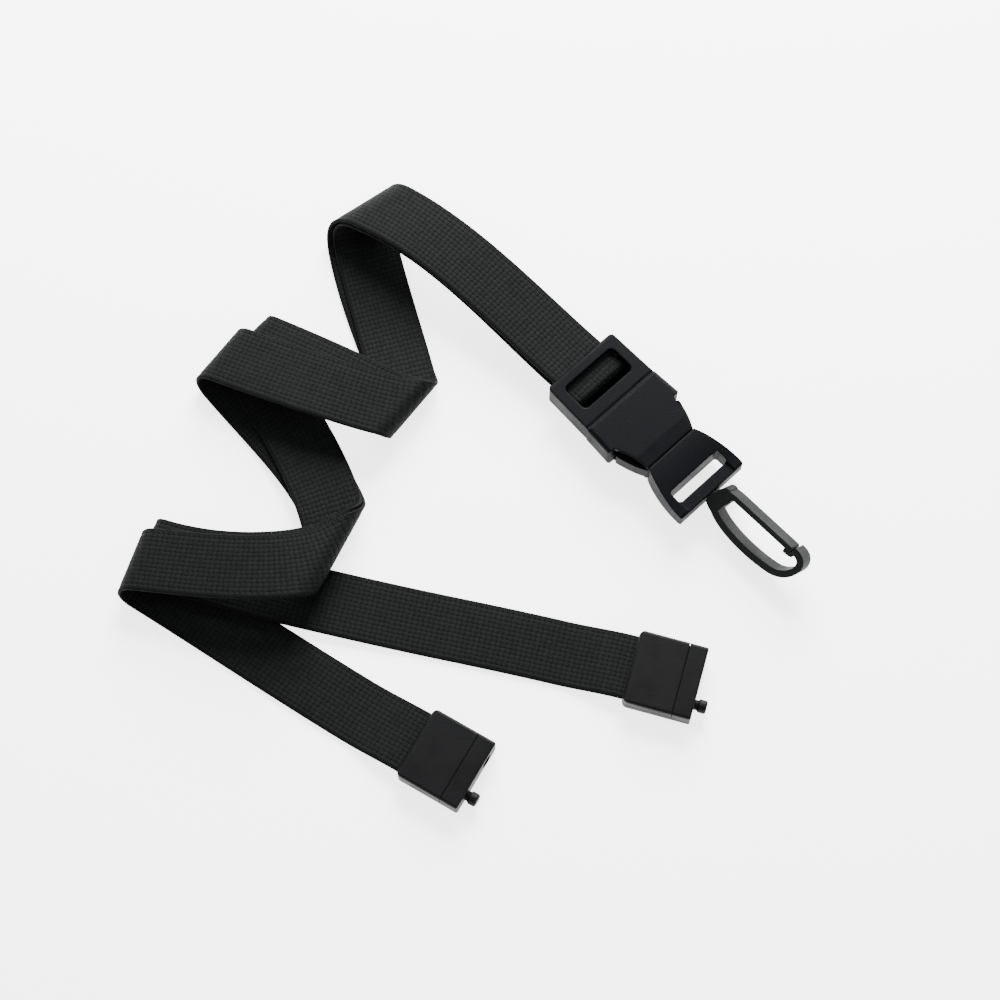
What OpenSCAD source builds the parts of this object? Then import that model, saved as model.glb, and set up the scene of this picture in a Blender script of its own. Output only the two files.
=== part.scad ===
/* [Tape] */
// Width of the woven tape
tape_w = 20.8; // [19.8:0.2:20.8]
// Thickness of the woven tape
tape_t = 1.2; // [1:0.1:1.2]

/* [Buckle] */
// Height of the buckle's long axis above the table
axis_z = 7; // [7:0.1:7.4]
// Thickness of the socket's front half
socket_t = 10; // [9.8:0.1:10]
// Width of the socket at its widest, by the thumb grips
socket_w = 31; // [30.6:0.1:31.2]
// Gap between the closed socket and the plug's shoulder
play = 0.14; // [0.1:0.02:0.2]

/* [Hook] */
// Angle that the hook is turned to about the buckle's axis
hook_turn = 42; // [34:1:42]
// Depth of the hook's strip, across its loop
hook_depth = 6.2; // [5.6:0.1:6.2]
// Thickness of the hook's strip
hook_strip = 2.3; // [2:0.1:2.3]

/* [Clasp] */
// Length of one clasp half without its peg
clasp_l = 21.8; // [21.4:0.1:22.2]
// Width of one clasp half
clasp_w = 23.8; // [23.6:0.1:24]
// Thickness of one clasp half
clasp_t = 7; // [7:0.1:7.2]
// Radius of the peg's head
peg_r = 2.1; // [2:0.05:2.1]
// Radius of the hole that takes the other half's peg
peg_hole_r = 2.25; // [2.2:0.05:2.3]

/* [Hidden] */
$fn = 48;
eps = 0.01;
// Where the ridge of the buckle lies, seen from the middle of the part's footprint
buckle_at = [10.76, 71.16];

// ---- colours ----
tape_black = [0.13, 0.14, 0.135];
buckle_black = [0.12, 0.125, 0.145];
hook_grey = [0.2, 0.23, 0.225];
clasp_black = [0.12, 0.12, 0.13];

// ---- buckle: x runs from the ridge across its top (0) towards the hook ----
socket_back = -19.2;
socket_step = 10.6;
socket_nose = 22.6;
front_half_w = socket_w / 2;
ridge_half_w = front_half_w - 0.5;
rear_half_w = front_half_w - 1.3;
front_half_t = socket_t / 2;
rear_half_t = front_half_t - 0.5;
nose_half_w = 10;
window_x = [-15.4, -5.2];
lower_window_x = [-15.4, -9.6];
window_half_w = 10.6;
bar_x = -11.2;
bar_r = 1.25;
bar_flat = 1.6;
tunnel_half_t = 3.4;
rib_x = 2.3;
rib_half_w = 10;
cavity_half_w = 12.2;
plug_start = socket_nose + play;
plug_end = 41.4;
slot_x = [32.7, 37.3];
slot_half_w = 10.5;
end_bar_half_t = 2.5;
arm_half_t = 2.8;
arm_pivot = [24.6, 6.6];
arm_pivot_r = 1.6;
barb_x = 2;
stem_r = 1.1;
stem_head_r = 1.7;
stem_head_x = [37.9, 39.3];
stem_play = 0.06;
hook_root_x = plug_end + 0.3;
gate_pivot = [46.2, 5.1];
gate_pivot_r = 1.15;

// ---- clasp halves: place of the rear edge's middle and heading, from the ridge of the buckle ----
clasp_a_at = [36, -121.9];
clasp_a_heading = 16.6;
clasp_b_at = [63.9, -57.4];
clasp_b_heading = 31.1;
clasp_seam_z = 3.2;
clasp_head_l = 5.8;
clasp_tape_z = 3.5;
peg_y = -6;
peg_neck_r = 1.6;
tape_in_clasp = 13.5;

// ---- route of the tape, from the ridge of the buckle ----
loop_r = 2;
loop_x = bar_x + bar_flat / 2;
// Each stretch: start [x, y], heading at its start, heading at its end, [share of length, height] knots.
// Run a lies outside run b at every fold. The tape turns over at each fold.
route_a = [
    [[-20.5, -0.44], 182.5, 201, [[0, axis_z + loop_r], [0.75, 14.2], [1, 12.9]]],
    [[-112.4, -13.5], -39, -25, [[0, 0.6], [0.5, 0.6], [1, 2.4]]],
    [[-42.3, -49.1], 223, 205, [[0, 10], [0.4, 13], [1, 8.8]]],
    [[-103.8, -82.6], -6, -37, [[0, 0.6], [0.3, 0.6], [0.85, 3.6]]],
    [[-22.5, -97.5], 258, 221, [[0, 12], [0.35, 14], [1, 9.2]]],
    [[-68.8, -149.1], 15, clasp_a_heading, [[0, 0.6], [0.8, 0.6], [1, clasp_tape_z]]],
    [clasp_a_at]
];
route_b = [
    [[-20.5, -0.44], 182.5, 201, [[0, axis_z - loop_r], [0.75, 12.9], [1, 11.6]]],
    [[-110.4, -13.3], -33, -31, [[0, 1.9], [0.5, 1.9], [1, 3.7]]],
    [[-44.6, -49.6], 213, 203.5, [[0, 8.7], [0.4, 11.7], [1, 7.5]]],
    [[-101.1, -72.5], -15, -36, [[0, 1.9], [0.3, 1.9], [0.85, 4.9]]],
    [[-24.7, -98.1], 257, 206, [[0, 10.7], [0.35, 12.7], [1, 7.9]]],
    [[-68.6, -142.4], 27, clasp_b_heading,
        [[0, 1.9], [0.33, 1.9], [0.62, 0.6], [0.86, 0.6], [1, clasp_tape_z]]],
    [clasp_b_at]
];
ring_step = 6;
fold_step = 1.9;
fold_reach = 15;
across = [for (i = [0:6]) tape_w * (i / 6 - 0.5)];

// ---- plane vectors ----
function heading(a) = [cos(a), sin(a)];
function left_of(v) = [-v[1], v[0]];
function unit(v) = v / norm(v);
function ease(f) = f <= 0 ? 0 : f >= 1 ? 1 : f * f * (3 - 2 * f);
function bezier(p, q) = pow(1 - q, 3) * p[0] + 3 * pow(1 - q, 2) * q * p[1]
    + 3 * (1 - q) * q * q * p[2] + q * q * q * p[3];
function bezier_slope(p, q) = 3 * pow(1 - q, 2) * (p[1] - p[0]) + 6 * (1 - q) * q * (p[2] - p[1])
    + 3 * q * q * (p[3] - p[2]);
function clamp(q) = max(0, min(1, q));

// Height of stretch i at share q of its length, eased from knot to knot.
function height_of(knots, q, i = 0) = i >= len(knots) - 1 || q <= knots[i][0]
    ? knots[min(i, len(knots) - 1)][1]
    : q < knots[i + 1][0]
        ? knots[i][1] + (knots[i + 1][1] - knots[i][1])
            * ease((q - knots[i][0]) / (knots[i + 1][0] - knots[i][0]))
    : height_of(knots, q, i + 1);
function start_height(stretch) = stretch[3][0][1];
function end_height(stretch) = stretch[3][len(stretch[3]) - 1][1];

// Control points of the middle line of stretch i.
function middle_line(route, i) =
    let (a = route[i][0], b = route[i + 1][0], reach = norm(b - a) / 3)
    [a, a + reach * heading(route[i][1]), b - reach * heading(route[i][2]), b];

// A fold: its point, the unit vector out of it, the unit vector along its crease, and the heights it joins.
function fold_at(route, i) =
    let (d_in = heading(route[i - 1][2]), d_out = heading(route[i][1]))
    [route[i][0], unit(d_in - d_out), unit(d_in + d_out), end_height(route[i - 1]), start_height(route[i])];

function past(f, p) = (p - f[0]) * f[1];

// Point at signed distance u past the crease and v along it, with the outward direction there.
// The tape is flat, then wraps half a turn round the crease's axis, then is flat again.
function on_fold(f, u, v, lift, h) =
    let (r = abs(f[3] - f[4]) / 2, side = f[3] > f[4] ? 1 : -1, half = PI * r / 2,
         turn = max(0, min(180, (u + half) / r * 180 / PI)),
         along = u < -half ? u : u > half ? -u : r * sin(turn) - half,
         out = [f[1][0] * sin(turn), f[1][1] * sin(turn), side * cos(turn)],
         p = f[0] + along * f[1] + v * f[2])
    [p[0], p[1], (f[3] + f[4]) / 2 + side * r * cos(turn) + lift] + h * out;

// Point of the tape: share q along stretch i, t across it and h out of its outer face.
function tape_point(route, i, q, t, h) =
    let (line = middle_line(route, i), qc = clamp(q), slope = unit(bezier_slope(line, qc)),
         over = (q - qc) * norm(line[3] - line[0]), mirror = i % 2 == 0 ? 1 : -1,
         p = bezier(line, qc) + over * slope + mirror * t * left_of(slope),
         z = height_of(route[i][3], qc),
         fs = i == 0 ? false : fold_at(route, i), fe = i == 5 ? false : fold_at(route, i + 1))
    fs && past(fs, p) > -PI * abs(fs[3] - fs[4]) / 4
        ? on_fold(fs, -past(fs, p), (p - fs[0]) * fs[2], z - fs[4], h)
    : fe && past(fe, p) > -PI * abs(fe[3] - fe[4]) / 4
        ? on_fold(fe, past(fe, p), (p - fe[0]) * fe[2], z - fe[3], h)
    : [p[0], p[1], z + mirror * h];

// Shares of a stretch's length at which it has a ring: close together by a fold, far apart between.
function ring_shares(route, i) =
    let (l = norm(route[i + 1][0] - route[i][0]),
         from = i == 0 ? 0 : fold_reach, to = i == 5 ? l : l - fold_reach,
         count = ceil((to - from) / ring_step))
    concat(i == 0 ? [(route[0][0][0] - loop_x + 1) / l] : [],
           i == 0 ? [] : [for (s = [fold_step / 2:fold_step:fold_reach - fold_step / 2]) s / l],
           [for (k = [0:count]) (from + (to - from) * k / count) / l],
           i == 5 ? [tape_in_clasp / l + 1]
                  : [for (s = [fold_reach - fold_step / 2:-fold_step:fold_step / 2]) 1 - s / l]);

// One ring: across the outer face, then back across the inner face. side is -1 on the inside run.
function ring(route, i, q, side) = concat(
    [for (t = across) tape_point(route, i, q, t, side * tape_t / 2)],
    [for (k = [len(across) - 1:-1:0]) tape_point(route, i, q, across[k], -side * tape_t / 2)]);
function run_rings(route, side) = [for (i = [0:5]) for (q = ring_shares(route, i)) ring(route, i, q, side)];

// Turn round the cross-bar, from the upper run to the lower one.
function loop_ring(a) = let (d = [sin(a), 0, cos(a)]) concat(
    [for (t = across) [loop_x, -t, axis_z] + (loop_r + tape_t / 2) * d],
    [for (k = [len(across) - 1:-1:0]) [loop_x, -across[k], axis_z] + (loop_r - tape_t / 2) * d]);

module sweep(rings) {
    n = len(rings[0]);
    last = len(rings) - 1;
    polyhedron(
        points = [for (r = rings) each r],
        faces = concat(
            [[for (j = [0:n - 1]) j]],
            [for (i = [0:last - 1]) for (j = [0:n - 1]) let (a = i * n + j, b = i * n + (j + 1) % n)
                each [[a, a + n, b + n], [a, b + n, b]]],
            [[for (j = [n - 1:-1:0]) last * n + j]]),
        convexity = 12);
}

function reversed(list) = [for (i = [len(list) - 1:-1:0]) list[i]];

module webbing() color(tape_black) translate(buckle_at)
    sweep(concat(reversed(run_rings(route_a, 1)), [for (a = [0:15:180]) loop_ring(a)],
                 run_rings(route_b, -1)));

// ---- shapes that repeat ----
function arc(c, r, from, to, n = 8) = [for (k = [0:n]) c + r * heading(from + (to - from) * k / n)];
function mirrored(pts) = [for (i = [len(pts) - 1:-1:0]) [pts[i][0], -pts[i][1]]];
function curve(p, n = 12) = [for (k = [0:n]) bezier(p, k / n)];
function slopes(p, n = 12) = [for (k = [0:n]) unit(bezier_slope(p, k / n))];

module at_buckle() translate([buckle_at[0], buckle_at[1], axis_z]) children();
module at_clasp(at, turn) translate([buckle_at[0] + at[0], buckle_at[1] + at[1], 0]) rotate(turn) children();

// A solid that is the common part of a plan outline and a side outline.
module plan_and_side(plan, side, half_w) intersection() {
    translate([0, 0, -20]) linear_extrude(40) polygon(plan);
    translate([0, half_w, 0]) rotate([90, 0, 0]) linear_extrude(2 * half_w) polygon(side);
}

// Cross-section with rounded long edges, run along x.
module rounded_bar(from, to, half_w, half_t, r) translate([from, 0, 0]) rotate([90, 0, 90])
    linear_extrude(to - from) polygon(concat(
        arc([half_w - r, half_t - r], r, 0, 90), arc([r - half_w, half_t - r], r, 90, 180),
        arc([r - half_w, r - half_t], r, 180, 270), arc([half_w - r, r - half_t], r, 270, 360)));

module slab(x, half_w, half_t) translate([x[0], -half_w, -half_t])
    cube([x[1] - x[0], 2 * half_w, 2 * half_t]);

module rounded_window(x, half_w, r) linear_extrude(30) polygon(concat(
    arc([x[1] - r, half_w - r], r, 0, 90), arc([x[0] + r, half_w - r], r, 90, 180),
    arc([x[0] + r, r - half_w], r, 180, 270), arc([x[1] - r, r - half_w], r, 270, 360)));

// ---- buckle socket ----
socket_plan_half = concat(
    [[socket_nose, 0]],
    [[socket_nose, nose_half_w - 0.3]],
    curve([[socket_nose - 0.3, nose_half_w], [20, nose_half_w], [16, 10.9], [14.2, 11.6]], 8),
    [[socket_step + 0.1, 13]],
    arc([socket_step - 0.9, front_half_w - 0.9], 0.9, 0, 87, 6),
    [[0.3, ridge_half_w], [-0.4, ridge_half_w - 0.3]],
    arc([socket_back + 2, rear_half_w - 2], 2, 92, 180, 8),
    [[socket_back, 0]]);
socket_side_half = concat(
    [[socket_nose, 0], [socket_nose, front_half_t - 1]],
    arc([socket_nose - 0.6, front_half_t - 1], 0.6, 0, 80, 4),
    [[socket_nose - 5, front_half_t], [0.8, front_half_t]],
    [[0.3, rear_half_t + 0.3], [0.1, rear_half_t - 0.25], [-0.5, rear_half_t - 0.25], [-1, rear_half_t]],
    arc([socket_back + 1.2, rear_half_t - 1.2], 1.2, 90, 180, 6),
    [[socket_back, 0]]);

module socket_shell() intersection() {
    plan_and_side(concat(socket_plan_half, mirrored(socket_plan_half)),
                  concat(socket_side_half, mirrored(socket_side_half)), 20);
    union() {
        hull() {
            rounded_bar(socket_back - 1, socket_back, rear_half_w, front_half_t, 1.3);
            rounded_bar(0, 0.1, ridge_half_w - 0.3, front_half_t, 1.3);
        }
        hull() {
            rounded_bar(0, 0.1, ridge_half_w, front_half_t, 1.5);
            rounded_bar(socket_step - 0.1, socket_step, front_half_w + 0.1, front_half_t, 1.5);
        }
        rounded_bar(socket_step - 0.2, socket_nose + 1, front_half_w, front_half_t, 1.5);
    }
}

module buckle_socket() color(buckle_black) at_buckle() {
    difference() {
        socket_shell();
        slab([socket_back - 1, window_x[1] + 0.2], 10.9, tunnel_half_t);
        slab([-3.8, rib_x], cavity_half_w, tunnel_half_t);
        slab([-3.8, socket_nose + 1], rib_half_w, tunnel_half_t);
        slab([socket_step, socket_nose + 1], 20, tunnel_half_t);
        // Window over the cross-bar, and a narrower one under it
        rounded_window(window_x, window_half_w, 1.8);
        mirror([0, 0, 1]) rounded_window(lower_window_x, window_half_w, 1.8);
    }
    // Cross-bar that the tape turns round, let into both side walls
    intersection() {
        slab([window_x[0] - 4, window_x[1] + 4], 10.9, tunnel_half_t);
        for (s = [-1, 1]) translate([bar_x + s * bar_flat / 2, 0, 0]) rotate([90, 0, 0])
            cylinder(r = bar_r, h = 21.8, center = true);
    }
    slab([bar_x - bar_flat / 2, bar_x + bar_flat / 2], 10.9, bar_r);
}

// ---- buckle plug ----
plug_plan_half = concat(
    [[plug_end, 0], [plug_end, 12.9]],
    arc([plug_end - 0.6, 13.1], 0.6, 0, 90, 5),
    curve([[40.2, 13.75], [36.8, 13.9], [28.5, 12.6], [plug_start + 0.2, nose_half_w]], 12),
    [[plug_start, nose_half_w - 0.2], [plug_start, 0]]);
plug_side_half = concat(
    [[plug_end, 0], [plug_end, 2]],
    arc([plug_end - 1, 2], 1, 0, 85, 5),
    curve([[plug_end - 1.4, 3], [36, 3.3], [30, 4.9], [plug_start + 0.4, front_half_t]], 10),
    [[plug_start, front_half_t - 0.2], [plug_start, 0]]);

module plug_base() intersection() {
    plan_and_side(concat(plug_plan_half, mirrored(plug_plan_half)),
                  concat(plug_side_half, mirrored(plug_side_half)), 20);
    rounded_bar(plug_start - 1, plug_end + 1, 14, 5.2, 1.9);
}

module buckle_plug() color(buckle_black) at_buckle() difference() {
    union() {
        plug_base();
        // Guide tongue that runs down the middle of the socket
        difference() {
            slab([-2.4, plug_start + 0.5], 3, 2.2);
            for (s = [-1, 1]) translate([-2.4, s * 3, 0]) rotate(45) cube([2, 2, 6], center = true);
        }
    }
    translate([0, 0, -15]) rounded_window(slot_x, slot_half_w, 0.9);
    // The bar in front of the slot lies a little below the cheeks
    for (s = [-1, 1]) translate([slot_x[1], -10.2, s > 0 ? end_bar_half_t : -3 - end_bar_half_t])
        cube([6, 20.4, 3]);
    // Seats of the two release arms
    for (s = [-1, 1]) translate([arm_pivot[0], s * arm_pivot[1], 0]) {
        cylinder(r = arm_pivot_r + 0.08, h = 2 * arm_half_t + 0.4, center = true);
        translate([-4.5, s * 0.35, 0]) cube([9, 3.4, 2 * arm_half_t + 0.4], center = true);
        linear_extrude(2 * arm_half_t + 0.4, center = true)
            polygon([[0, 0], [0, s * 1.7], [-0.8, s * 2.7], [-1.5, s * 4], [-5, s * 5.4], [-5, 0]]);
    }
    // Seat of the hook's stem and its head
    translate([stem_head_x[0] - 0.15, 0, 0]) rotate([0, 90, 0])
        cylinder(r = stem_head_r + stem_play, h = stem_head_x[1] - stem_head_x[0] + 0.3);
    translate([stem_head_x[1], 0, 0]) rotate([0, 90, 0]) cylinder(r = stem_r + stem_play, h = 4);
}

// ---- release arms ----
arm_outline = concat(
    arc(arm_pivot, arm_pivot_r, -90, 90, 10),
    curve([[22.4, 10.1], [20.8, 11.4], [17.2, 12.8], [12.8, 13.9]], 10),
    [[12.2, 13.9], [11.7, 13.3], [11.3, 9.7], [barb_x + 0.4, 9.5], [barb_x, 9.9], [barb_x, 11.7]],
    curve([[barb_x - 0.4, 11.9], [0.4, 11.6], [-1.4, 10], [-2.2, 8.7]], 6),
    [[-2.3, 7.9], [-1.6, 7.5], [11, 7.5]],
    curve([[13, 7.7], [16, 8.1], [19, 7.2], [22, 6.1]], 6));

module arm_solid() linear_extrude(2 * arm_half_t, center = true) polygon(arm_outline);

module release_arm_left() color(buckle_black) at_buckle() arm_solid();
module release_arm_right() color(buckle_black) at_buckle() mirror([0, 1, 0]) arm_solid();

// ---- hook: x along the buckle's axis, y across its loop, before it is turned ----
module at_hook() at_buckle() rotate([hook_turn, 0, 0]) children();
body_curve = [[44.8, -1.5], [49, -4.8], [61, -5.5], [71, -3.6]];
nose_curve = [[71, -3.6], [78.1, -2.3], [80.8, 7.2], [73.3, 6.8]];
hook_middle = concat(curve(body_curve, 14), [for (k = [1:12]) bezier(nose_curve, k / 12)]);
hook_slopes = concat(slopes(body_curve, 14), [for (k = [1:12]) unit(bezier_slope(nose_curve, k / 12))]);
gate_angle = 1.6;

function beside(side) = [for (i = [0:len(hook_middle) - 1])
    hook_middle[i] + side * hook_strip / 2 * left_of(hook_slopes[i])];

module hook_body() color(hook_grey) at_hook() difference() {
    union() {
        linear_extrude(hook_depth, center = true) {
            polygon(concat(beside(1), reversed(beside(-1))));
            polygon(concat([[hook_root_x, -1.7], [43.2, -2.5], [44.6, -3], [46.2, -3.1], [46.9, -1.4],
                [47.4, 1.4], [48.2, 3.4], [47.9, 4.7], [47.1, 5.9]], arc([45.2, 4.6], 1.9, 75, 160, 6),
                [[42.6, 3], [hook_root_x, 1.9]]));
        }
        // Stem and its head, snapped into the plug's end bar
        translate([stem_head_x[0], 0, 0]) rotate([0, 90, 0])
            cylinder(r = stem_head_r, h = stem_head_x[1] - stem_head_x[0]);
        translate([stem_head_x[1] - eps, 0, 0]) rotate([0, 90, 0])
            cylinder(r = stem_r, h = hook_root_x - stem_head_x[1] + 1);
    }
    // Seat of the gate's root
    translate([gate_pivot[0], gate_pivot[1], 0])
        cylinder(r = gate_pivot_r + 0.07, h = hook_depth + 1, center = true);
    translate([gate_pivot[0], gate_pivot[1], 0]) rotate(gate_angle)
        translate([0, -0.9, -5]) cube([5, 4, 10]);
}

module hook_gate() color(hook_grey) at_hook() linear_extrude(hook_depth, center = true)
    translate(gate_pivot) rotate(gate_angle) {
        circle(r = gate_pivot_r);
        // Strip, its inward step, and the tongue that closes inside the nose
        polygon([[0.4, -0.75], [2.6, -0.35], [24.2, -0.35], [24.4, -1.7], [26, -1.7], [27.6, -1.35],
                 [27.9, -0.9], [27.5, -0.45], [26.6, -0.3], [26.4, 1], [26, 1.35],
                 [2.2, 1.35], [0.2, 1.15]]);
    }

// ---- clasp halves: x forward from the rear edge, y to the left ----
clasp_half_w = clasp_w / 2;
clasp_plan = concat(
    arc([clasp_l - 0.7, clasp_half_w - 0.7], 0.7, 0, 90, 5), arc([2.2, clasp_half_w - 2.2], 2.2, 90, 180, 8),
    arc([2.2, 2.2 - clasp_half_w], 2.2, 180, 270, 8),
    arc([clasp_l - 0.7, 0.7 - clasp_half_w], 0.7, 270, 360, 5));

module clasp_shell() intersection() {
    linear_extrude(clasp_t) polygon(clasp_plan);
    translate([0, 0, clasp_t / 2]) rounded_bar(-1, clasp_l + 1, clasp_half_w, clasp_t / 2, 0.9);
    translate([0, 20, 0]) rotate([90, 0, 0]) linear_extrude(40) polygon(concat(
        [[clasp_l, 0.3]], arc([clasp_l - 0.6, clasp_t - 0.6], 0.6, 0, 90, 4),
        arc([1.6, clasp_t - 1.6], 1.6, 90, 180, 6), arc([0.6, 0.6], 0.6, 180, 270, 4),
        [[clasp_l - 0.3, 0]]));
}

module clasp_block(x, z) translate([x[0], -20, z[0]]) cube([x[1] - x[0], 40, z[1] - z[0]]);
module clasp_pocket(x, z) translate([x[0], -10.7, z[0]]) cube([x[1] - x[0], 21.4, z[1] - z[0]]);
clasp_head_x = clasp_l - clasp_head_l;

module clasp_body() {
    difference() {
        clasp_shell();
        clasp_block([-1, clasp_head_x], [clasp_seam_z, clasp_t + 1]);
        clasp_pocket([-1, clasp_head_x - 1], [1.9, clasp_seam_z + 1]);
        // Hole for the other half's peg
        translate([clasp_l - 4.6, -peg_y, clasp_t / 2]) rotate([0, 90, 0]) cylinder(r = peg_hole_r, h = 6);
    }
    // Lower teeth that grip the tape
    for (k = [0:2]) translate([4 + 3.4 * k, -9.5, 1.9 - eps]) cube([1, 19, 0.8]);
    // Peg: neck, head and rounded tip
    translate([clasp_l - 1, peg_y, clasp_t / 2]) rotate([0, 90, 0]) rotate_extrude()
        polygon(concat([[0, 0], [peg_neck_r, 0], [peg_neck_r, 2], [peg_r, 2.5], [peg_r, 4.2]],
            arc([peg_r - 0.7, 4.2], 0.7, 0, 90, 5), [[0, 4.9]]));
}

module clasp_cover() {
    difference() {
        intersection() {
            clasp_shell();
            clasp_block([-1, clasp_head_x - 0.15], [clasp_seam_z + 0.1, clasp_t + 1]);
        }
        clasp_pocket([-1, clasp_head_x - 1.2], [clasp_seam_z - 1, 5.1]);
    }
    // Upper teeth that grip the tape
    for (k = [0:1]) translate([5.7 + 3.4 * k, -9.5, clasp_tape_z + tape_t / 2 + 0.1]) cube([1, 19, 1.1]);
}

module clasp_body_a() color(clasp_black) at_clasp(clasp_a_at, clasp_a_heading) clasp_body();
module clasp_cover_a() color(clasp_black) at_clasp(clasp_a_at, clasp_a_heading) clasp_cover();
module clasp_body_b() color(clasp_black) at_clasp(clasp_b_at, clasp_b_heading) clasp_body();
module clasp_cover_b() color(clasp_black) at_clasp(clasp_b_at, clasp_b_heading) clasp_cover();

webbing();
buckle_socket();
buckle_plug();
release_arm_left();
release_arm_right();
hook_body();
hook_gate();
clasp_body_a();
clasp_cover_a();
clasp_body_b();
clasp_cover_b();
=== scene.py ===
import math
import bmesh
import bpy
import numpy as np
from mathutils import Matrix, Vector


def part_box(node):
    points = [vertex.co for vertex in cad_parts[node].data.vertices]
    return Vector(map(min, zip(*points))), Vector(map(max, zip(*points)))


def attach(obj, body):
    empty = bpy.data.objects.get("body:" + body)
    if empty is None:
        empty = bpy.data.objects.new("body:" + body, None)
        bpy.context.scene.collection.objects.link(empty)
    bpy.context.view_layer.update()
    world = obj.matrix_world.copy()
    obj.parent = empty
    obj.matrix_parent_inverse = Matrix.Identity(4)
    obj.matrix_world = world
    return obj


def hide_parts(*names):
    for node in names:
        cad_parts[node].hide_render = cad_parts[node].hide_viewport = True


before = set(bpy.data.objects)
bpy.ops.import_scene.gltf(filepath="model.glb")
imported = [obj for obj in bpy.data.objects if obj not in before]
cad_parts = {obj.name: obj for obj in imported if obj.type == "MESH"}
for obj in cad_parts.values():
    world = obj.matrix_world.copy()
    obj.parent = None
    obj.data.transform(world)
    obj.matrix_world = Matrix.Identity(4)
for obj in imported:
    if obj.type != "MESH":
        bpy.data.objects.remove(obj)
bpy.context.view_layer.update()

mm = 0.001
socketLow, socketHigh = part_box("buckle_socket")
socketBack = -19.2  # the socket's rear edge, seen from the ridge across its top
ridge = np.array([socketLow.x / mm - socketBack, (socketLow.y + socketHigh.y) / 2 / mm])
axisHeight = (socketLow.z + socketHigh.z) / 2 / mm


# ---------- camera ----------
view = {
    "target": (0.0061, 0.0229, 0.0),
    "distance": 0.75,
    "elevation": 70.0,
    "azimuth": -43.14,  # direction from the target to the camera, seen from above
    "lens": 85.0,
}


def placeCamera(spec):
    camera = bpy.data.objects.new("camera", bpy.data.cameras.new("camera"))
    bpy.context.scene.collection.objects.link(camera)
    camera.data.lens = spec["lens"]
    camera.data.clip_start = 0.01
    turn, rise = math.radians(spec["azimuth"]), math.radians(spec["elevation"])
    away = Vector((math.cos(rise) * math.cos(turn), math.cos(rise) * math.sin(turn), math.sin(rise)))
    camera.location = Vector(spec["target"]) + spec["distance"] * away
    camera.rotation_euler = away.to_track_quat("Z", "Y").to_euler()
    bpy.context.scene.camera = camera


placeCamera(view)
print("camera placed")


# ---------- shader maths ----------
class Wire:
    # one output socket; arithmetic on it adds Math nodes
    def __init__(self, shader, socket):
        self.shader, self.socket = shader, socket

    def maths(self, operation, *values):
        return self.shader.add("ShaderNodeMath", {"operation": operation}, dict(enumerate((self, *values))))

    def __add__(self, other):
        return self.maths("ADD", other)

    def __mul__(self, other):
        return self.maths("MULTIPLY", other)

    def __sub__(self, other):
        return self.maths("SUBTRACT", other)

    def __truediv__(self, other):
        return self.maths("DIVIDE", other)

    def __pow__(self, other):
        return self.maths("POWER", other)

    def __rsub__(self, other):
        return (self * -1) + other

    __radd__ = __add__
    __rmul__ = __mul__


class Shader:
    def __init__(self, name):
        self.material = bpy.data.materials.new(name)
        self.material.use_nodes = True
        self.tree = self.material.node_tree
        self.tree.nodes.clear()

    def add(self, kind, settings=None, sockets=None, out=0):
        node = self.tree.nodes.new(kind)
        for name, value in (settings or {}).items():
            setattr(node, name, value)
        for name, value in (sockets or {}).items():
            if isinstance(value, Wire):
                self.tree.links.new(value.socket, node.inputs[name])
            else:
                node.inputs[name].default_value = value
        return Wire(self, node.outputs[out]) if len(node.outputs) else None

    def noise(self, vector, scale, detail=2.0, roughness=0.5):
        return self.add("ShaderNodeTexNoise", {"noise_dimensions": "3D"},
                        {"Vector": vector, "Scale": scale, "Detail": detail, "Roughness": roughness})

    def between(self, value, low, high, fromValue=0.0, toValue=1.0):
        # smooth step from low to high
        return self.add("ShaderNodeMapRange", {"interpolation_type": "SMOOTHSTEP"},
                        {"Value": value, "From Min": low, "From Max": high, "To Min": fromValue, "To Max": toValue})

    def mixColor(self, factor, a, b):
        return self.add("ShaderNodeMix", {"data_type": "RGBA"}, {0: factor, 6: a, 7: b}, out=2)

    def bump(self, height, distance, strength=1.0, normal=None):
        sockets = {"Height": height, "Distance": distance, "Strength": strength}
        if normal is not None:
            sockets["Normal"] = normal
        return self.add("ShaderNodeBump", None, sockets)

    def finish(self, sockets):
        surface = self.add("ShaderNodeBsdfPrincipled", None, sockets)
        self.add("ShaderNodeOutputMaterial", None, {"Surface": surface})
        return self.material


def rgba(color, share=1.0):
    return (color[0] * share, color[1] * share, color[2] * share, 1.0)


# ---------- tape material ----------
weave = {
    "color": (0.0050, 0.0060, 0.0056),
    "pitPaintedShade": 0.42,  # share of the colour left between the yarns, as painted shade in the pits
    "along": 1.68,  # mm from rib to rib
    "across": 1.42,  # mm from column to column
    "stagger": 0.12,  # share of a pitch by which each second column is moved on
    "selvage": (9.1, 9.7),  # mm from the middle where the plain edge starts
    "depth": 0.00013,
}


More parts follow.
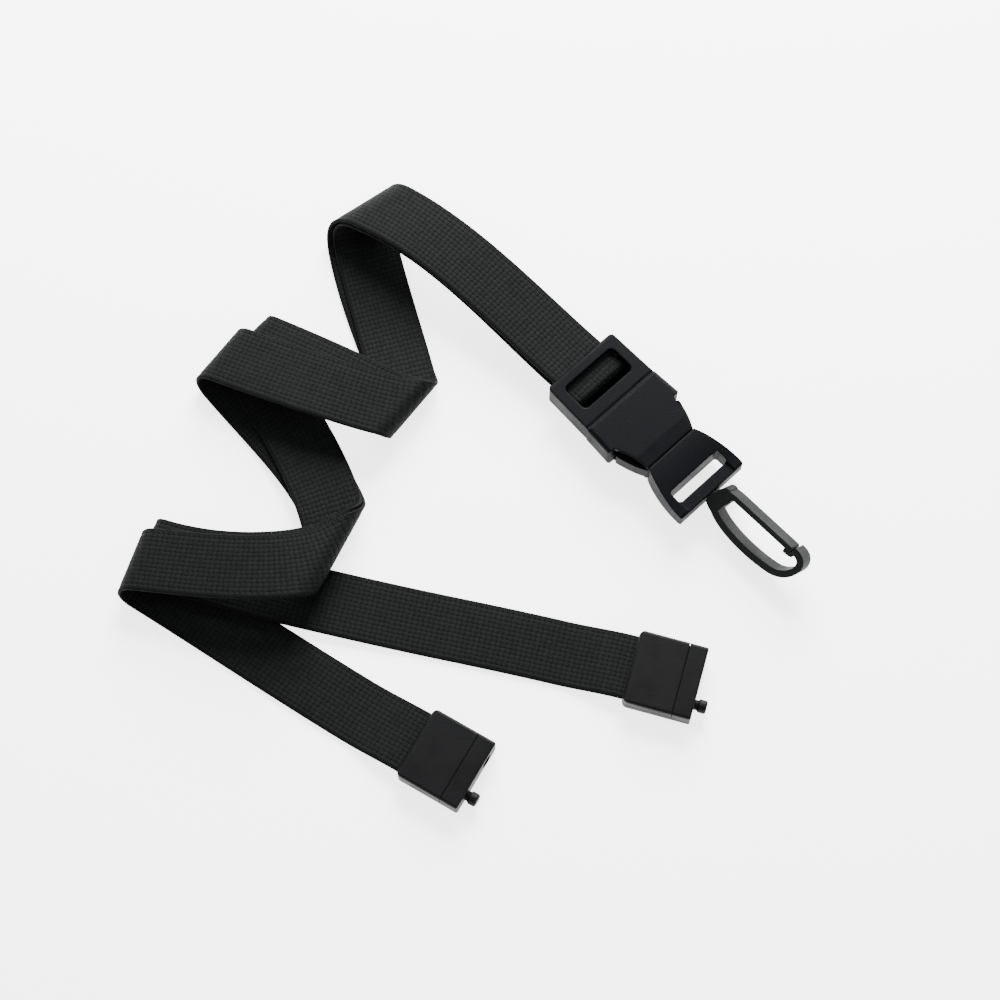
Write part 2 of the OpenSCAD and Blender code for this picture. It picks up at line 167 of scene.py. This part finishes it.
def tapeMaterial(spec):
    s = Shader("tapeWeave")
    place = s.add("ShaderNodeAttribute", {"attribute_name": "tapePlace"}, None, out=1)
    parts = s.tree.nodes.new("ShaderNodeSeparateXYZ")
    s.tree.links.new(place.socket, parts.inputs[0])
    along, across = Wire(s, parts.outputs[0]), Wire(s, parts.outputs[1])
    inObject = s.add("ShaderNodeTexCoord", None, None, out=3)
    # floats: ribs of ovals across the tape, each second column moved on a little
    drift = s.noise(inObject, 260.0, 1.0, 0.5) * 0.16
    column = across / spec["across"] + drift
    index = column.maths("FLOOR")
    row = along / spec["along"] + index.maths("PINGPONG", 1.0) * spec["stagger"] + drift
    f = column.maths("FRACT") * 2 - 1
    g = row.maths("FRACT") * 2 - 1
    dome = 1 - f * f * 0.62 - g * g * 0.9
    yarnTop = s.between(dome, -0.3, 0.85)
    cell = s.add("ShaderNodeCombineXYZ", None, {0: index, 1: row.maths("FLOOR"), 2: 0.0})
    yarn = s.add("ShaderNodeTexWhiteNoise", {"noise_dimensions": "3D"}, {"Vector": cell})
    edge = s.between(across.maths("ABSOLUTE"), *spec["selvage"])
    rib = s.between((along / 0.75).maths("FRACT").maths("PINGPONG", 0.5) * 2, 0.1, 0.9)
    height = yarnTop * (1 - edge) + rib * edge * 0.55
    # filaments along the yarns, and slow changes of shade
    thread = s.add("ShaderNodeCombineXYZ", None, {0: along * 0.6, 1: across * 9, 2: 0.0})
    filament = s.noise(thread, 1.0, 3.0, 0.6)
    slow = s.noise(inObject, 45.0, 2.0, 0.5)
    # the colour falls with the yarn height towards the pits between the yarns: painted shade; the filament, slow and
    # per-yarn noise is random tone
    shade = (spec["pitPaintedShade"] + height * (1 - spec["pitPaintedShade"])) * (0.75 + filament * 0.5)
    shade = shade * (0.8 + slow * 0.4) * (0.8 + yarn * 0.4) * (1 - edge * 0.3)
    color = s.mixColor(shade.maths("MINIMUM", 1.3), rgba(spec["color"], 0.0), rgba(spec["color"]))
    normal = s.bump(height + filament * 0.25, spec["depth"], 1.0)
    rough = s.between(filament, 0.3, 0.7, 0.62, 0.85)
    return s.finish({"Base Color": color, "Roughness": rough, "Normal": normal,
                     "Specular IOR Level": 0.06})


# ---------- moulded plastic ----------
def plasticMaterial(name, spec):
    s = Shader(name)
    place = s.add("ShaderNodeTexCoord", None, None, out=3)
    fine = s.noise(place, spec["grainScale"], 2.0, 0.6)
    cloud = s.noise(place, 130.0, 3.0, 0.55)
    scuff = s.noise(place, 700.0, 2.0, 0.5)
    rounded = s.add("ShaderNodeBevel", {"samples": 6}, {"Radius": spec["edge"]})
    sharp = s.add("ShaderNodeNewGeometry", None, None, out=1)
    facing = s.add("ShaderNodeVectorMath", {"operation": "DOT_PRODUCT"}, {0: rounded, 1: sharp}, out=1)
    worn = s.between(1 - facing, 0.01, 0.2) * s.between(scuff, 0.35, 0.7, 0.35, 1.0)
    tone = 0.8 + cloud * 0.4
    base = s.mixColor(tone.maths("MINIMUM", 1.2), rgba(spec["color"], 0.0), rgba(spec["color"]))
    color = s.mixColor(worn * spec["wear"], base, rgba(spec["wornColor"]))
    normal = s.bump(fine, spec["grainDepth"], 1.0, rounded)
    rough = s.between(cloud, 0.3, 0.7, spec["roughness"][0], spec["roughness"][1])
    return s.finish({"Base Color": color, "Roughness": rough, "Normal": normal, "Specular IOR Level": spec["gloss"]})


plastics = {
    "buckle": {"color": (0.0010, 0.0012, 0.0020), "wornColor": (0.007, 0.0078, 0.0104), "wear": 0.8,
               "grainScale": 2600.0, "grainDepth": 0.00006, "edge": 0.0008, "roughness": (0.46, 0.58), "gloss": 0.05},
    "hook": {"color": (0.0042, 0.0056, 0.0052), "wornColor": (0.010, 0.0125, 0.012), "wear": 0.4,
             "grainScale": 3000.0, "grainDepth": 0.00003, "edge": 0.0006, "roughness": (0.56, 0.68), "gloss": 0.09},
    "clasp": {"color": (0.0022, 0.0023, 0.0027), "wornColor": (0.008, 0.0083, 0.0092), "wear": 0.6,
              "grainScale": 2800.0, "grainDepth": 0.00005, "edge": 0.0006, "roughness": (0.44, 0.56), "gloss": 0.09},
}


# ---------- tape ----------
loopRadius = 2.0
loopX = -10.4
tape = {
    "width": 20.8,
    "thickness": 1.2,
    "flat": (0.0208, 1.072),
    "intoClasp": 13.5,
    "ringStep": 0.66,
    "acrossCount": 25,
}
claspA = {"at": (36.0, -121.9), "heading": 16.6}
claspB = {"at": (63.9, -57.4), "heading": 31.1}
claspTape = 3.5
# Each stretch: start, heading at its start and end, and (share of length, height) knots.
# The tape turns over at each fold. Run a lies outside run b.
routeA = [
    ((-20.5, -0.44), 182.5, 201, ((0, axisHeight + loopRadius), (0.75, 14.2), (1, 12.9))),
    ((-112.4, -13.5), -39, -25, ((0, 0.6), (0.5, 0.6), (1, 2.4))),
    ((-42.3, -49.1), 223, 205, ((0, 10), (0.4, 13), (1, 8.8))),
    ((-103.8, -82.6), -6, -37, ((0, 0.6), (0.3, 0.6), (0.85, 3.6))),
    ((-22.5, -97.5), 258, 221, ((0, 12), (0.35, 14), (1, 9.2))),
    ((-68.8, -149.1), 15, claspA["heading"], ((0, 0.6), (0.8, 0.6), (1, claspTape))),
    (claspA["at"],),
]
routeB = [
    ((-20.5, -0.44), 182.5, 201, ((0, axisHeight - loopRadius), (0.75, 12.9), (1, 11.6))),
    ((-110.4, -13.3), -33, -31, ((0, 1.9), (0.5, 1.9), (1, 3.7))),
    ((-44.6, -49.6), 213, 203.5, ((0, 8.7), (0.4, 11.7), (1, 7.5))),
    ((-101.1, -72.5), -15, -36, ((0, 1.9), (0.3, 1.9), (0.85, 4.9))),
    ((-24.7, -98.1), 257, 206, ((0, 10.7), (0.35, 12.7), (1, 7.9))),
    ((-68.6, -142.4), 27, claspB["heading"], ((0, 1.9), (0.33, 1.9), (0.62, 0.6), (0.86, 0.6), (1, claspTape))),
    (claspB["at"],),
]


def headingOf(degrees):
    return np.array([math.cos(math.radians(degrees)), math.sin(math.radians(degrees))])


def unit(v):
    return v / np.linalg.norm(v, axis=-1, keepdims=True)


def ease(f):
    f = np.clip(f, 0, 1)
    return f * f * (3 - 2 * f)


def heightAlong(knots, q):
    # eased from each knot's height to the next one's
    shares, heights = np.array(knots, float).T
    k = np.clip(np.searchsorted(shares, q, side="right") - 1, 0, len(shares) - 2)
    return heights[k] + (heights[k + 1] - heights[k]) * ease((q - shares[k]) / (shares[k + 1] - shares[k]))


def foldAt(route, i):
    # crease point, direction out of the fold, direction along the crease, heights before and after
    into, away = headingOf(route[i - 1][2]), headingOf(route[i][1])
    return (np.array(route[i][0], float), unit(into - away), unit(into + away),
            route[i - 1][3][-1][1], route[i][3][0][1])


def onFold(fold, u, v, lift, h):
    # flat up to the crease, half a turn round the crease's axis, then flat again the other way
    point, out, crease, before, after = fold
    r = abs(before - after) / 2
    side = 1 if before > after else -1
    half = math.pi * r / 2
    turn = np.clip((u + half) / r, 0, math.pi)
    along = np.where(u < -half, u, np.where(u > half, -u, r * np.sin(turn) - half))
    flat = point + along[..., None] * out + v[..., None] * crease + (h * np.sin(turn))[..., None] * out
    z = (before + after) / 2 + side * (r + h) * np.cos(turn) + lift
    return np.concatenate([flat, z[..., None]], -1)


def tapePoints(route, i, q, t, h):
    # cubic middle line, moved sideways by t and out of the tape's outer face by h, wrapped at the folds
    start, end = np.array(route[i][0], float), np.array(route[i + 1][0], float)
    reach = np.linalg.norm(end - start) / 3
    p = [start, start + reach * headingOf(route[i][1]), end - reach * headingOf(route[i][2]), end]
    c = np.clip(q, 0, 1)[..., None]
    middle = (1 - c) ** 3 * p[0] + 3 * (1 - c) ** 2 * c * p[1] + 3 * (1 - c) * c * c * p[2] + c ** 3 * p[3]
    slope = unit((1 - c) ** 2 * (p[1] - p[0]) + 2 * (1 - c) * c * (p[2] - p[1]) + c * c * (p[3] - p[2]))
    left = np.stack([-slope[..., 1], slope[..., 0]], -1)
    mirror = 1 if i % 2 == 0 else -1
    place = middle + (q[..., None] - c) * np.linalg.norm(end - start) * slope + mirror * t[..., None] * left
    z = heightAlong(route[i][3], c[..., 0])
    points = np.concatenate([place, (z + mirror * h)[..., None]], -1)
    for fold, way in ([(foldAt(route, i + 1), 1)] if i < 5 else []) + ([(foldAt(route, i), -1)] if i else []):
        past = (place - fold[0]) @ fold[1]
        wrapped = onFold(fold, way * past, (place - fold[0]) @ fold[2], z - (fold[3] if way > 0 else fold[4]), h)
        near = past > -math.pi * abs(fold[3] - fold[4]) / 4
        points = np.where(near[..., None], wrapped, points)
    return points


def tapeSection(spec):
    # closed cross-section: two nearly flat faces, thinner just inside the round selvages
    half, thick = spec["width"] / 2, spec["thickness"] / 2
    t = np.linspace(-1, 1, spec["acrossCount"])
    t = np.sign(t) * (1 - (1 - np.abs(t)) ** 1.15) * (half - 0.45)
    dip = 0.1 * np.exp(-((np.abs(t) - half + 1.5) / 0.45) ** 2)
    face = thick - dip
    turn = np.linspace(0, math.pi, 7)[1:-1]
    edgeT, edgeH = half - 0.45 + 0.45 * np.sin(turn), (thick - 0.02) * np.cos(turn)
    return (np.concatenate([t, edgeT, t[::-1], -edgeT]), np.concatenate([face, edgeH, -face[::-1], -edgeH]))


def runRings(route, side, spec, section):
    t, h = section
    rings = []
    for i in range(6):
        length = np.linalg.norm(np.subtract(route[i + 1][0], route[i][0]))
        first = (route[0][0][0] - loopX) / length if i == 0 else 0.0
        last = 1 + spec["intoClasp"] / length if i == 5 else 1.0
        count = int((last - first) * length / spec["ringStep"])
        q = first + (last - first) * (np.arange(count) + 0.5) / count
        grid = np.broadcast_arrays(q[:, None], t[None, :], side * h[None, :])
        rings.append(tapePoints(route, i, *grid))
    return np.concatenate(rings)


def buildTape(spec):
    section = tapeSection(spec)
    t, h = section
    a = np.linspace(0, math.pi, 14)[1:-1, None]
    r = loopRadius + h[None, :]
    loop = np.stack([loopX + r * np.sin(a), -t + 0 * a, axisHeight + r * np.cos(a)], -1)
    rings = np.concatenate([runRings(routeA, 1, spec, section)[::-1], loop, runRings(routeB, -1, spec, section)])
    rings[..., :2] += ridge
    middle = rings.mean(1)
    travelled = np.concatenate([[0], np.cumsum(np.linalg.norm(np.diff(middle, axis=0), axis=1))])
    print("tape length in mm:", round(float(travelled[-1]), 1))
    n, m = rings.shape[:2]
    i, j = np.meshgrid(np.arange(n - 1), np.arange(m), indexing="ij")
    k = (j + 1) % m
    faces = np.stack([i * m + j, i * m + k, (i + 1) * m + k, (i + 1) * m + j], -1).reshape(-1, 4)
    mesh = bpy.data.meshes.new("webbing_tape")
    caps = [list(range(m))[::-1], list(range((n - 1) * m, n * m))]
    mesh.from_pydata((rings.reshape(-1, 3) * mm), [], faces.tolist() + caps)
    place = np.stack([np.repeat(travelled, m), np.tile(t, n), np.tile(np.sign(h), n)], -1)
    attribute = mesh.attributes.new("tapePlace", "FLOAT_VECTOR", "POINT")
    attribute.data.foreach_set("vector", place.astype(np.float32).ravel())
    mesh.polygons.foreach_set("use_smooth", np.ones(len(mesh.polygons), bool))
    mesh.update()
    tapeObject = bpy.data.objects.new("webbing_tape", mesh)
    bpy.context.scene.collection.objects.link(tapeObject)
    return tapeObject


def faceOutwards(obj):
    work = bmesh.new()
    work.from_mesh(obj.data)
    if work.calc_volume(signed=True) < 0:
        bmesh.ops.reverse_faces(work, faces=work.faces)
    work.to_mesh(obj.data)
    work.free()


webbing = buildTape(tape)
faceOutwards(webbing)
webbing.data.materials.append(tapeMaterial(weave))
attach(webbing, "strap")
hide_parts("webbing")
print("tape made")

finishes = {"buckle": plasticMaterial("buckleAcetal", plastics["buckle"]),
            "hook": plasticMaterial("hookAcetal", plastics["hook"]),
            "clasp": plasticMaterial("claspAcetal", plastics["clasp"])}
for name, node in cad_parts.items():
    if name == "webbing":
        continue
    kind = "clasp" if name.startswith("clasp") else "hook" if name.startswith("hook") else "buckle"
    node.data.materials.clear()
    node.data.materials.append(finishes[kind])
print("plastic finished")


# ---------- floor and light ----------
studio = {
    "floorColor": (0.95, 0.95, 0.95),
    "floorGlow": 3.0,  # brightens the paper, and lights the sides of the object a little
    "world": 0.98,
    "key": {"place": (-0.45, 0.55, 0.42), "size": 0.5, "power": 36.0},
}


def buildStudio(spec):
    mesh = bpy.data.meshes.new("floor")
    reach = 3.0
    corners = [(-reach, -reach, 0), (reach, -reach, 0), (reach, reach, 0), (-reach, reach, 0)]
    mesh.from_pydata(corners, [], [(0, 1, 2, 3)])
    floor = bpy.data.objects.new("floor", mesh)
    bpy.context.scene.collection.objects.link(floor)
    s = Shader("floorPaper")
    floor.data.materials.append(s.finish({"Base Color": rgba(spec["floorColor"]), "Roughness": 0.9,
                                          "Specular IOR Level": 0.1, "Emission Color": (1, 1, 1, 1),
                                          "Emission Strength": spec["floorGlow"]}))
    world = bpy.data.worlds.new("studio")
    world.use_nodes = True
    world.node_tree.nodes["Background"].inputs["Color"].default_value = (1, 1, 1, 1)
    world.node_tree.nodes["Background"].inputs["Strength"].default_value = spec["world"]
    bpy.context.scene.world = world
    key = bpy.data.objects.new("key", bpy.data.lights.new("key", "AREA"))
    key.data.shape = "SQUARE"
    key.data.size = spec["key"]["size"]
    key.data.energy = spec["key"]["power"]
    key.location = spec["key"]["place"]
    key.rotation_euler = (Vector(spec["key"]["place"])).to_track_quat("Z", "Y").to_euler()
    bpy.context.scene.collection.objects.link(key)


buildStudio(studio)
print("studio made")
